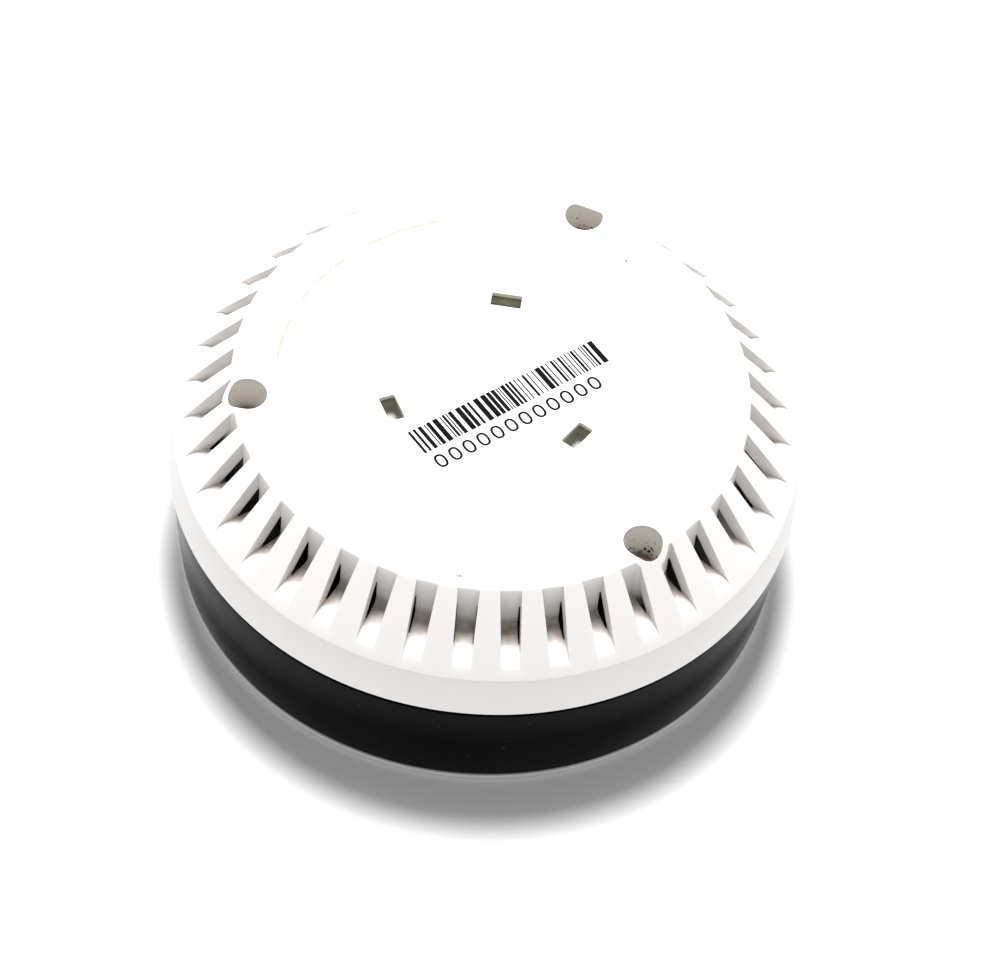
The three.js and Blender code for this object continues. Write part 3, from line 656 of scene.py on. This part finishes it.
def sleeve():
    """Shrink sleeve of a battery cell: blue with a silver band round one end."""
    shader = Shader("cell_sleeve", Metallic=0.3, Coat_Weight=0.5)
    x, _, _ = shader.parts()
    low, high = box_mm("battery_a")
    bright = shader.remap(x, high.x - 5.2, high.x - 5.0)
    colour = shader.mix(shader.noise(4, 2), (0.05, 0.14, 0.36, 1), (0.07, 0.19, 0.45, 1))
    colour = shader.mix(bright, colour, (0.66, 0.66, 0.68, 1))
    seam = shader.remap(shader.math("PINGPONG", shader.math("ADD", x, 0.7), 6.75), 6.6, 6.7)
    colour = shader.mix(shader.math("MULTIPLY", seam, 0.7), colour, (0.80, 0.80, 0.82, 1))
    shader.bump(shader.noise(1.5, 2), 0.03, 0.4)
    return shader.done(colour, shader.remap(shader.noise(1.0, 3), 0.3, 0.7, 0.2, 0.36))


def tinted_clear(name, first, second, passes=0.7):
    """Clear moulded plastic, faintly clouded."""
    shader = Shader(name, IOR=1.49, Transmission_Weight=passes)
    colour = shader.mix(shader.noise(1.2, 3), first, second)
    shader.bump(shader.noise(0.8, 2), 0.01, 0.3)
    return shader.done(colour, shader.remap(shader.noise(0.9, 3), 0.3, 0.7, 0.06, 0.18))


MATERIALS = {
    "black_plastic": moulded("satin_black", (0.006, 0.006, 0.007, 1), (0.011, 0.011, 0.012, 1)),
    "nickel": brushed("nickel", (0.55, 0.55, 0.56, 1), (0.72, 0.71, 0.69, 1)),
    "brass": brushed("brass", (0.52, 0.37, 0.13, 1), (0.70, 0.53, 0.24, 1)),
    "clear_plastic": tinted_clear("clear_guide", (0.86, 0.90, 0.92, 1), (0.78, 0.83, 0.86, 1), 0.85),
    "led_green": tinted_clear("led_green", (0.10, 0.55, 0.18, 1), (0.06, 0.42, 0.14, 1)),
    "led_red": tinted_clear("led_red", (0.62, 0.06, 0.04, 1), (0.48, 0.04, 0.03, 1)),
    "led_amber": tinted_clear("led_amber", (0.75, 0.40, 0.05, 1), (0.62, 0.30, 0.04, 1)),
    "board_green": solder_mask(),
    "cell_sleeve": sleeve(),
    "sensor_case": moulded("sensor_case", (0.66, 0.64, 0.58, 1), (0.72, 0.70, 0.64, 1)),
    "chip_black": moulded("chip_black", (0.012, 0.012, 0.013, 1), (0.02, 0.02, 0.021, 1), 0.5, 0.7),
}
WHITE_BACK = back_cover_white()
WHITE_FRONT = front_white()
WINDOW_PAINTED_SHADE = window_cavity_painted_shade()
GLOSS = gloss_black()
PAPER = paper()
INK = print_ink()
STEEL = dark_steel()


# ---- back cover ----
def slot_width(radius):
    share = (radius - SLOT_INNER_RADIUS) / (SLOT_OUTER_RADIUS - SLOT_INNER_RADIUS)
    return SLOT_INNER_WIDTH + share * (SLOT_OUTER_WIDTH - SLOT_INNER_WIDTH)


def hollow_width(radius):
    return PITCH * radius - slot_width(radius) + 2 * TROUGH_CLEARANCE


def cover_shell():
    inner_rim = RIM_RADIUS - 1.8
    under = PLATE_Z - PLATE_THICKNESS
    inner_wall = SLOT_INNER_RADIUS - TROUGH_THICKNESS
    trough_under = TROUGH_Z - TROUGH_THICKNESS
    corners = [
        (40, PLATE_Z),
        (PLATE_RADIUS, PLATE_Z, 2.4),
        (SHOULDER_RADIUS, SHOULDER_Z, 0.9),
        (RIM_RADIUS, SEAM_Z, 0.25),
        (inner_rim, SEAM_Z),
        (inner_rim - 0.5, shoulder_z(SLOT_OUTER_RADIUS) - TROUGH_THICKNESS - 0.4),
        (TROUGH_FLAT_RADIUS, trough_under),
        (inner_wall, trough_under, 2.2),
        (inner_wall, under),
        (40, under),
    ]
    return lathe(outline(corners, 5), COVER_ANGLES, closed=False)


def boss_cutters(radius, bottom, top, sides=64):
    return join([disc(radius, bottom, top, (p.x, p.y), sides) for p in SCREW_PLACES])


def bosses():
    """Screw bosses that end just inside the cover's outer skin."""
    top = PLATE_Z - 1.2
    corners = [
        (0, 0),
        (SHOULDER_RADIUS - 3, 0),
        (SHOULDER_RADIUS - 3, shoulder_z(SHOULDER_RADIUS - 3) - 0.3),
        (SHOULDER_RADIUS - (top + 0.3 - SHOULDER_Z) / SLOPE, top),
        (0, top),
    ]
    inside = lathe(corners, even_angles(SLOT_COUNT * 4))
    return combine(boss_cutters(BOSS_RADIUS, BOSS_BOTTOM_Z, PLATE_Z + 1), inside, "INTERSECT")


def slot_cutters():
    above = PLATE_Z + 5
    lip_radius = SHOULDER_RADIUS - (TROUGH_Z - SHOULDER_Z) / SLOPE
    corners = [
        (SLOT_INNER_RADIUS, above),
        (SLOT_INNER_RADIUS, TROUGH_Z, 1.2),
        (lip_radius, TROUGH_Z, TROUGH_LIP_ROUND),
        (SLOT_OUTER_RADIUS + 0.3, shoulder_z(SLOT_OUTER_RADIUS + 0.3)),
        (SLOT_OUTER_RADIUS + 3, shoulder_z(SLOT_OUTER_RADIUS) + 2),
        (SLOT_OUTER_RADIUS + 3, above),
    ]
    points = outline(corners, 7)
    slots = join([radial_prism(points, slot_width, k * PITCH) for k in range(SLOT_COUNT)])
    return combine(slots, boss_cutters(BOSS_RADIUS, BOSS_BOTTOM_Z, PLATE_Z + 8), "DIFFERENCE")


def hollow_cutters():
    inner = SLOT_INNER_RADIUS - TROUGH_THICKNESS - 1
    corner = SLOT_INNER_RADIUS - 0.2
    outer = SHOULDER_RADIUS - (TROUGH_Z + RIB_DEPTH - SHOULDER_Z) / SLOPE
    corners = [
        (corner, shoulder_z(corner) - RIB_DEPTH),
        (inner, shoulder_z(corner) - RIB_DEPTH),
        (inner, SEAM_Z - 1),
        (outer, SEAM_Z - 1),
        (outer, TROUGH_Z),
    ]
    turns = [(k + 0.5) * PITCH for k in range(SLOT_COUNT)]
    hollows = join([radial_prism(corners, hollow_width, turn) for turn in turns])
    return combine(hollows, boss_cutters(BOSS_RADIUS, BOSS_BOTTOM_Z, PLATE_Z + 8), "DIFFERENCE")


def window_prisms(grow, bottom, top, rounding=0.0):
    shape = rectangle(WINDOW_WIDTH + 2 * grow, WINDOW_LENGTH + 2 * grow, rounding)
    return join([
        prism(shape, bottom, top, angle, (WINDOW_RADIUS * math.cos(angle), WINDOW_RADIUS * math.sin(angle)))
        for angle in WINDOW_ANGLES
    ])


def in_window(point):
    for angle in WINDOW_ANGLES:
        local = Matrix.Rotation(-angle, 2) @ Vector((point.x, point.y))
        across = abs(local.x - WINDOW_RADIUS) < WINDOW_WIDTH / 2 + WINDOW_UNDERCUT + 0.05
        if across and abs(local.y) < WINDOW_LENGTH / 2 + WINDOW_UNDERCUT + 0.05:
            return True
    return False


def cover_rounding(middle):
    """Full rounding, none on the pockets' rims, fading out where a slot's walls meet the shoulder."""
    radius = math.hypot(middle.x, middle.y)
    for place in SCREW_PLACES:
        if math.hypot(middle.x - place.x, middle.y - place.y) < BOSS_RADIUS + 0.2:
            return 0.0
    if middle.z > SHOULDER_Z + 0.5 and radius > BEVEL_FADE_START:
        share = (BEVEL_FADE_END - radius) / (BEVEL_FADE_END - BEVEL_FADE_START)
        return min(1.0, max(0.0, share))
    return 1.0


def back_cover():
    floor = PLATE_Z - WINDOW_DEPTH
    cover = combine(cover_shell(), bosses(), "UNION")
    cover = combine(cover, slot_cutters(), "DIFFERENCE")
    cover = combine(cover, hollow_cutters(), "DIFFERENCE")
    cover = combine(cover, boss_cutters(POCKET_RADIUS, POCKET_FLOOR_Z, PLATE_Z + 5), "DIFFERENCE")
    bores = boss_cutters(SCREW_BORE_RADIUS, BOSS_BOTTOM_Z - 1, POCKET_FLOOR_Z + 1, 32)
    cover = combine(cover, bores, "DIFFERENCE")
    cover = combine(cover, window_prisms(WINDOW_WALL, floor - WINDOW_WALL, PLATE_Z - 1.5), "UNION")
    cover = combine(cover, window_prisms(0, PLATE_Z - 1.6, PLATE_Z + 1, 0.25), "DIFFERENCE")
    cover = combine(cover, window_prisms(WINDOW_UNDERCUT, floor, PLATE_Z - WINDOW_LIP), "DIFFERENCE")
    # the window cavities' faces take the painted shade
    for face in cover.faces:
        middle = face.calc_center_median()
        if floor - 0.1 < middle.z < PLATE_Z - WINDOW_LIP + 0.01 and in_window(middle):
            face.material_index = 1
    return publish("back_cover_shell", cover, [WHITE_BACK, WINDOW_PAINTED_SHADE],
                   stands_for=["back_cover"], bevel=COVER_BEVEL, weight_at=cover_rounding)


back_cover()


# ---- label, with a generic bar pattern and a row of zeros ----
LABEL_TURN = math.radians(39.9)
LABEL_LENGTH = 48.2
LABEL_WIDTH = 16.6
BARS_LENGTH = 42.0
BARS_HEIGHT = 5.8
BAR_MODULE = 0.27
INK_THICKNESS = 0.015
BARS_ALONG = -0.9
BARS_ACROSS = 3.2
BARS_SEED = 11
INK_GAP = 0.003
ZERO_COUNT = 12
ZEROS_START = -21.9
ZEROS_LENGTH = 37.9
ZEROS_ACROSS = -2.6
# (half width, half height) of a zero's outer and inner edges
ZERO_EDGES = ((1.13, 1.6), (0.66, 1.14))
ZERO_SQUARENESS = 0.85


def label_point(u, v):
    """A point of the label, from its middle: u along the bars, v across."""
    middle = (LABEL_LOW + LABEL_HIGH) / 2
    along = Vector((math.cos(LABEL_TURN), math.sin(LABEL_TURN)))
    across = Vector((-along.y, along.x))
    return Vector((middle.x, middle.y)) + along * u + across * v


def label_sheet():
    at = label_point(0, 0)
    sheet = prism(rectangle(LABEL_LENGTH, LABEL_WIDTH, 0.7), PLATE_Z + 0.002, LABEL_HIGH.z, LABEL_TURN, at)
    publish("label_sheet", sheet, [PAPER], stands_for=["back_label"], bevel=0.04)


def label_bars():
    """Bars and gaps of one to four modules, drawn at random from a fixed seed."""
    draw = random.Random(BARS_SEED)
    bars = []
    u = -BARS_LENGTH / 2
    while u < BARS_LENGTH / 2 - BAR_MODULE:
        bar = BAR_MODULE * draw.choice((1, 1, 2, 2, 3, 4))
        gap = BAR_MODULE * draw.choice((1, 1, 1, 2, 2, 3))
        bar = min(bar, BARS_LENGTH / 2 - u)
        bars.append((u + bar / 2, bar))
        u += bar + gap
    bottom = LABEL_HIGH.z + INK_GAP
    meshes = []
    for middle, width in bars:
        at = label_point(middle + BARS_ALONG, BARS_ACROSS)
        shape = rectangle(width, BARS_HEIGHT)
        meshes.append(prism(shape, bottom, bottom + INK_THICKNESS, LABEL_TURN, at))
    publish("label_bars", join(meshes), [INK])


def zero_ring(at):
    """A plain zero as a closed ring of rounded strokes."""
    steps = 40
    mesh = bmesh.new()
    loops = []
    bottom = LABEL_HIGH.z + INK_GAP
    for z in (bottom, bottom + INK_THICKNESS):
        for half_width, half_height in ZERO_EDGES:
            loop = []
            for a in even_angles(steps):
                x = half_width * math.copysign(abs(math.cos(a)) ** ZERO_SQUARENESS, math.cos(a))
                y = half_height * math.copysign(abs(math.sin(a)) ** ZERO_SQUARENESS, math.sin(a))
                loop.append(mesh.verts.new((x, y, z)))
            loops.append(loop)
    low_out, low_in, high_out, high_in = loops
    for first, second in ((low_out, low_in), (low_in, high_in), (high_in, high_out), (high_out, low_out)):
        for k in range(steps):
            j = (k + 1) % steps
            mesh.faces.new((first[k], first[j], second[j], second[k]))
    bmesh.ops.recalc_face_normals(mesh, faces=mesh.faces)
    mesh.transform(Matrix.Translation((at.x, at.y, 0)) @ Matrix.Rotation(LABEL_TURN, 4, "Z"))
    return mesh


def label_digits():
    pitch = ZEROS_LENGTH / ZERO_COUNT
    start = ZEROS_START + pitch / 2
    zeros = [zero_ring(label_point(start + k * pitch, ZEROS_ACROSS)) for k in range(ZERO_COUNT)]
    publish("label_digits", join(zeros), [INK])


label_sheet()
label_bars()
label_digits()


# ---- band, front cover and button ----
FRONT_THICKNESS = 2.2
SPIGOT_RADIUS = 55.1
CASE_POST_RADIUS = 3.75
BOARD_POST_RADIUS = 3
BUTTON_HOLE_RADIUS = 9
BUTTON_FLARE = 0.3
LIGHT_HOLE_RADIUS = 1.8
SOUND_HOLE_RADIUS = 1
MIDDLE_HOLE_RADIUS = 1.2
SMALL_HOLE_TOP = 5
SMALL_FLARE = 0.15
# (count, ring radius) of the sound holes round the middle one
SOUND_HOLE_RINGS = ((6, 3.6), (10, 7.2))


def side_band():
    top_radius = BAND_HIGH.x
    bottom_radius = top_radius - 2.05
    inner = bottom_radius - 2
    band_top = SEAM_Z - 1.1
    tongue_top = BAND_HIGH.z
    tongue_radius = top_radius - 1.9
    deck_under = band_top - 1.6
    corners = [
        (inner, BAND_LOW.z),
        (bottom_radius, BAND_LOW.z, 0.6),
        (top_radius, band_top, 0.3),
        (tongue_radius, band_top, 0.3),
        (tongue_radius, tongue_top, 0.3),
        (tongue_radius - 1.6, tongue_top, 0.3),
        (tongue_radius - 1.6, band_top),
        (50.6, band_top),
        (50.6, deck_under),
        (inner, deck_under),
    ]
    publish("side_band_shell", lathe(outline(corners), even_angles(256)), [GLOSS],
            stands_for=["side_band"])


def mouth_cutter(radius, top, at, sides, flare):
    """Cuts a round hole up from the front face, with a quarter-round mouth."""
    steps = 4
    mouth = []
    for k in range(steps + 1):
        a = math.pi / 2 * k / steps
        mouth.append((radius + flare * (1 - math.sin(a)), flare * (1 - math.cos(a))))
    points = [(0, -1), (radius + flare, -1), *mouth, (radius, top), (0, top)]
    return lathe(points, even_angles(sides), at)


def hole_cutter(place, radius, sides=32):
    return mouth_cutter(radius, SMALL_HOLE_TOP, place, sides, SMALL_FLARE)


def front_cover():
    radius = BAND_HIGH.x - 1.95
    spigot = SPIGOT_RADIUS
    corners = [
        (0, 0),
        (radius - 0.1, 0, 0.8),
        (radius, 1.3, 0.35),
        (spigot, 1.3),
        (spigot, 9, 0.3),
        (spigot - 1.5, 9, 0.3),
        (spigot - 1.5, FRONT_THICKNESS, 0.5),
        (0, FRONT_THICKNESS),
    ]
    case_post_top = BOSS_BOTTOM_Z - 0.3
    board_post_top = box_mm("main_board")[0].z - 0.3
    cover = lathe(outline(corners), even_angles(192))
    places = [(p.x, p.y) for p in SCREW_PLACES]
    board_places = [(p.x, p.y) for p in POST_PLACES]
    case_posts = join([disc(CASE_POST_RADIUS, 1, case_post_top, at, 40) for at in places])
    board_posts = join([disc(BOARD_POST_RADIUS, 1, board_post_top, at, 32) for at in board_places])
    cover = combine(cover, case_posts, "UNION")
    cover = combine(cover, board_posts, "UNION")
    guide = lathe([(10.3, 1), (11.3, 1), (11.3, 5.5), (10.3, 5.5)], even_angles(64))
    cover = combine(cover, guide, "UNION")
    bores = [disc(1.8, 18, case_post_top + 1, at, 24) for at in places]
    bores += [disc(1.3, 6, board_post_top + 1, at, 20) for at in board_places]
    cover = combine(cover, join(bores), "DIFFERENCE")
    horn = (HORN_PLACE.x, HORN_PLACE.y)
    holes = [mouth_cutter(BUTTON_HOLE_RADIUS, 3, (0, 0), 96, BUTTON_FLARE)]
    holes += [hole_cutter((p.x, p.y), LIGHT_HOLE_RADIUS) for p in LED_PLACES]
    holes += [hole_cutter(horn, MIDDLE_HOLE_RADIUS, 24)]
    for count, ring in SOUND_HOLE_RINGS:
        for a in even_angles(count):
            at = (horn[0] + ring * math.cos(a), horn[1] + ring * math.sin(a))
            holes.append(hole_cutter(at, SOUND_HOLE_RADIUS, 24))
    cover = combine(cover, join(holes), "DIFFERENCE")
    publish("front_cover_shell", cover, [WHITE_FRONT], stands_for=["front_cover"])


def test_button():
    face = BUTTON_LOW.z
    flange = 2.5
    corners = [
        (0, face + 0.35),
        (3.5, face + 0.28),
        (6.6, face, 3),
        (8.7, face, 0.5),
        (8.7, flange, 0.2),
        (BUTTON_HIGH.x, flange, 0.2),
        (BUTTON_HIGH.x, flange + 1, 0.2),
        (2.5, flange + 1, 0.4),
        (2.5, BUTTON_HIGH.z, 0.3),
        (0, BUTTON_HIGH.z),
    ]
    publish("test_button_cap", lathe(outline(corners), even_angles(96)), [WHITE_FRONT],
            body="button", stands_for=["test_button"])


side_band()
front_cover()
test_button()


# ---- case screws ----
SCREW_HEAD_RADIUS = 2.9
SCREW_HEAD_HEIGHT = 2.2
SCREW_LENGTH = 15
THREAD_PITCH = 1.1
THREAD_ROOT_RADIUS = 1.15
THREAD_CREST_RADIUS = 1.5
SCREW_TURNS = (0.3, 1.1, 0.6)


def case_screw(place, letter, turn):
    at = (place.x, place.y)
    head_bottom = SCREW_TOP_Z - SCREW_HEAD_HEIGHT
    thread = [(1.25, head_bottom - 0.6)]
    z = head_bottom - 1.2
    while z > head_bottom - 13:
        thread.append((THREAD_ROOT_RADIUS, z))
        thread.append((THREAD_CREST_RADIUS, z - 0.4))
        thread.append((THREAD_ROOT_RADIUS, z - 0.8))
        z -= THREAD_PITCH
    points = [
        (0, head_bottom - SCREW_LENGTH),
        *reversed(thread),
        (1.25, head_bottom),
        (2.75, head_bottom),
        (SCREW_HEAD_RADIUS, head_bottom + 0.2),
        (SCREW_HEAD_RADIUS, SCREW_TOP_Z - 1.1),
        (2.8, SCREW_TOP_Z - 0.7),
        (2.5, SCREW_TOP_Z - 0.35),
        (2.0, SCREW_TOP_Z - 0.12),
        (1.2, SCREW_TOP_Z - 0.02),
        (0, SCREW_TOP_Z),
    ]
    screw = lathe(points, even_angles(48), at)
    for spin in (0, math.pi / 2):
        bar = prism(rectangle(3.4, 0.7, 0.2), SCREW_TOP_Z - 1.2, SCREW_TOP_Z + 1, turn + spin, at)
        screw = combine(screw, bar, "DIFFERENCE")
    publish(f"case_screw_body_{letter}", screw, [STEEL], stands_for=[f"case_screw_{letter}"])


for screw_place, screw_letter, screw_turn in zip(SCREW_PLACES, "abc", SCREW_TURNS):
    case_screw(screw_place, screw_letter, screw_turn)


# ---- inner pieces kept from the CAD, with their materials ----
def dress_kept_nodes():
    slots = {row["node"]: row["material_slot"] for row in frame["record"]["subparts"]}
    for name, node in frame["nodes"].items():
        if node.hide_render:
            continue
        for material_slot in node.material_slots:
            material_slot.material = MATERIALS[slots[name]]


dress_kept_nodes()


# ---- floor, light and camera ----
def floor():
    data = bpy.data.meshes.new("floor")
    data.from_pydata([(-3, -3, 0), (3, -3, 0), (3, 3, 0), (-3, 3, 0)], [], [(0, 1, 2, 3)])
    shader = Shader("floor_white", Specular_IOR_Level=0.2)
    material = shader.done((0.93, 0.93, 0.935, 1), 0.6)
    data.materials.append(material)
    piece = bpy.data.objects.new("floor", data)
    bpy.context.scene.collection.objects.link(piece)


def area_light(name, place, aim, size, power):
    data = bpy.data.lights.new(name, "AREA")
    data.shape = "DISK"
    data.size = size
    data.energy = power
    lamp = bpy.data.objects.new(name, data)
    lamp.location = place
    lamp.rotation_euler = (Vector(aim) - Vector(place)).to_track_quat("-Z", "Y").to_euler()
    bpy.context.scene.collection.objects.link(lamp)


SKY_LIGHT = 0.44
KEY_PLACE = (-0.06, 0.45, 1.5)
KEY_AIM = (0, 0, 0.03)
KEY_SIZE = 0.5
KEY_POWER = 33


def studio():
    """An even white sky and one soft lamp above the object and a little behind it."""
    world = bpy.data.worlds.new("studio")
    world.use_nodes = True
    background = world.node_tree.nodes["Background"]
    background.inputs["Color"].default_value = (1.0, 1.0, 1.0, 1)
    background.inputs["Strength"].default_value = SKY_LIGHT
    bpy.context.scene.world = world
    area_light("key", KEY_PLACE, KEY_AIM, KEY_SIZE, KEY_POWER)
    bpy.context.scene.view_settings.view_transform = "Standard"


CAMERA_DISTANCE = 0.8555
CAMERA_ELEVATION = math.radians(51.2)
CAMERA_AZIMUTH = math.radians(0.3)
CAMERA_PAN = math.radians(0.24)
CAMERA_TILT = math.radians(0.34)
CAMERA_ROLL = math.radians(-5.86)


def camera():
    data = bpy.data.cameras.new("camera")
    data.sensor_fit = "HORIZONTAL"
    data.sensor_width = 36
    data.lens = 162
    data.clip_start = 0.01
    back = Vector((0, -math.cos(CAMERA_ELEVATION), math.sin(CAMERA_ELEVATION)))
    right = Vector((1, 0, 0))
    axes = Matrix((right, back.cross(right), back))
    aimed = (
        Matrix.Rotation(CAMERA_ROLL, 3, "Z")
        @ Matrix.Rotation(CAMERA_TILT, 3, "X")
        @ Matrix.Rotation(CAMERA_PAN, 3, "Y")
        @ axes
    )
    place = aimed.transposed().to_4x4()
    place.translation = back * CAMERA_DISTANCE
    piece = bpy.data.objects.new("camera", data)
    raised = Matrix.Translation((0, 0, SEAM_Z * MM))
    piece.matrix_world = raised @ Matrix.Rotation(CAMERA_AZIMUTH, 4, "Z") @ place
    bpy.context.scene.collection.objects.link(piece)
    bpy.context.scene.camera = piece


floor()
studio()
camera()
